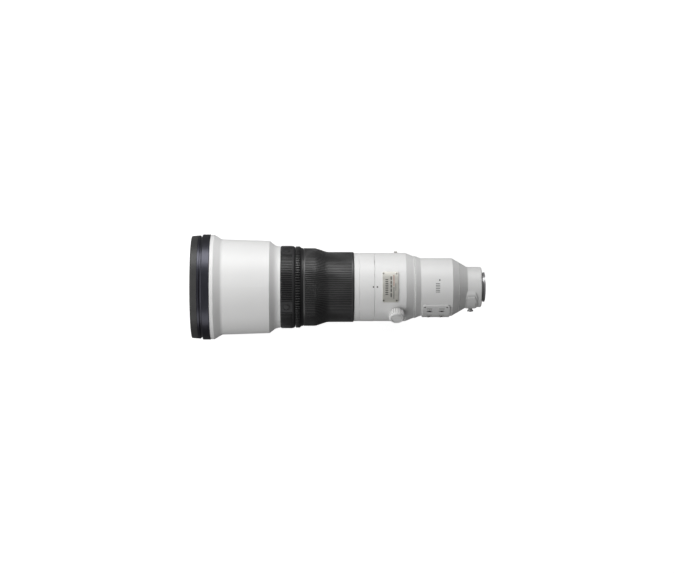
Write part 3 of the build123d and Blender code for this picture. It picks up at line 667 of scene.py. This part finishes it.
def make_floor():
    """White sheet under the foot that neither lights the lens nor shows in its reflections."""
    bpy.ops.mesh.primitive_plane_add(size=FLOOR_SIZE, location=(FLOOR_X, 0, cad_low.z))
    floor = bpy.context.object
    floor.name = "floor"
    sheet = Shader("floor_sheet", FLOOR_GREY, 0.9)
    sheet.mottle(2.0, 0.01)
    sheet.set("Emission Color", (1.0, 1.0, 1.0, 1.0))
    sheet.set("Emission Strength", FLOOR_GLOW)
    floor.data.materials.append(sheet.done())
    floor.visible_diffuse = False
    floor.visible_glossy = False


WORLD_LEVEL = 0.16
WORLD_SLOPE = (-0.12, 0.08, 0.04)  # brighter to the front, the photographer's right and the top


def make_world():
    """Soft surroundings that the camera itself sees as plain white."""
    world = bpy.data.worlds.new("studio")
    scene.world = world
    world.use_nodes = True
    tree = world.node_tree
    tree.nodes.clear()
    output = tree.nodes.new("ShaderNodeOutputWorld")
    coords = tree.nodes.new("ShaderNodeTexCoord")
    slope = tree.nodes.new("ShaderNodeVectorMath")
    slope.operation = "DOT_PRODUCT"
    slope.inputs[1].default_value = WORLD_SLOPE
    level = tree.nodes.new("ShaderNodeMath")
    level.operation = "ADD"
    level.use_clamp = True
    level.inputs[1].default_value = WORLD_LEVEL
    soft = tree.nodes.new("ShaderNodeBackground")
    plain = tree.nodes.new("ShaderNodeBackground")
    plain.inputs["Strength"].default_value = 1.0
    plain.inputs["Color"].default_value = (1, 1, 1, 1)
    path = tree.nodes.new("ShaderNodeLightPath")
    pick = tree.nodes.new("ShaderNodeMixShader")
    tree.links.new(coords.outputs["Generated"], slope.inputs[0])
    tree.links.new(slope.outputs["Value"], level.inputs[0])
    tree.links.new(level.outputs[0], soft.inputs["Strength"])
    tree.links.new(path.outputs["Is Camera Ray"], pick.inputs[0])
    tree.links.new(soft.outputs[0], pick.inputs[1])
    tree.links.new(plain.outputs[0], pick.inputs[2])
    tree.links.new(pick.outputs[0], output.inputs["Surface"])


def softbox(name, target, azimuth, height_angle, distance, width, height, radiance):
    """Area light aimed at a target.

    Azimuth is from +Y towards -X and height angle is above the level, both in degrees; radiance is
    relative to a white surface.
    """
    turn, rise = radians(azimuth), radians(height_angle)
    away = Vector((-sin(turn) * cos(rise), cos(turn) * cos(rise), sin(rise)))
    data = bpy.data.lights.new(name, "AREA")
    data.shape = "RECTANGLE"
    data.size = width
    data.size_y = height
    data.energy = radiance * pi * width * height
    lamp = bpy.data.objects.new(name, data)
    scene.collection.objects.link(lamp)
    lamp.location = target + away * distance
    lamp.rotation_euler = away.to_track_quat("Z", "Y").to_euler()
    lamp.visible_camera = False


CAMERA_AT = (-0.2634, 0.0, 3.187)
FOCAL_LENGTH = 109.3  # millimetres, as the sensor width
SENSOR_WIDTH = 36.0
SHIFT_X = 0.0385


def make_camera():
    """Camera straight above the lens."""
    data = bpy.data.cameras.new("camera")
    data.sensor_width = SENSOR_WIDTH
    data.lens = FOCAL_LENGTH
    data.shift_x = SHIFT_X
    data.clip_start = 0.05
    data.clip_end = 50.0
    camera = bpy.data.objects.new("camera", data)
    scene.collection.objects.link(camera)
    camera.location = CAMERA_AT
    scene.camera = camera


MIDDLE = Vector((-0.34, 0.0, 0.0))
MOUNT = Vector((0.0, 0.0, 0.0))
# Name, target, azimuth, height angle, distance, width, height, radiance
LAMPS = (
    ("key_softbox", MIDDLE, 0.0, 24.0, 0.95, 1.0, 0.58, 3.9),
    ("fill_softbox", MIDDLE, 166.0, 20.0, 1.1, 0.8, 0.6, 1.4),
    ("front_sheet", MIDDLE, 96.0, 46.0, 1.25, 2.0, 1.1, 2.0),
    ("rear_sheet", MOUNT, -90.0, 25.0, 1.2, 0.8, 0.5, 0.6),
)
make_floor()
make_world()
for lamp in LAMPS:
    softbox(*lamp)
make_camera()
scene.view_settings.view_transform = "Standard"
scene.view_settings.look = "None"
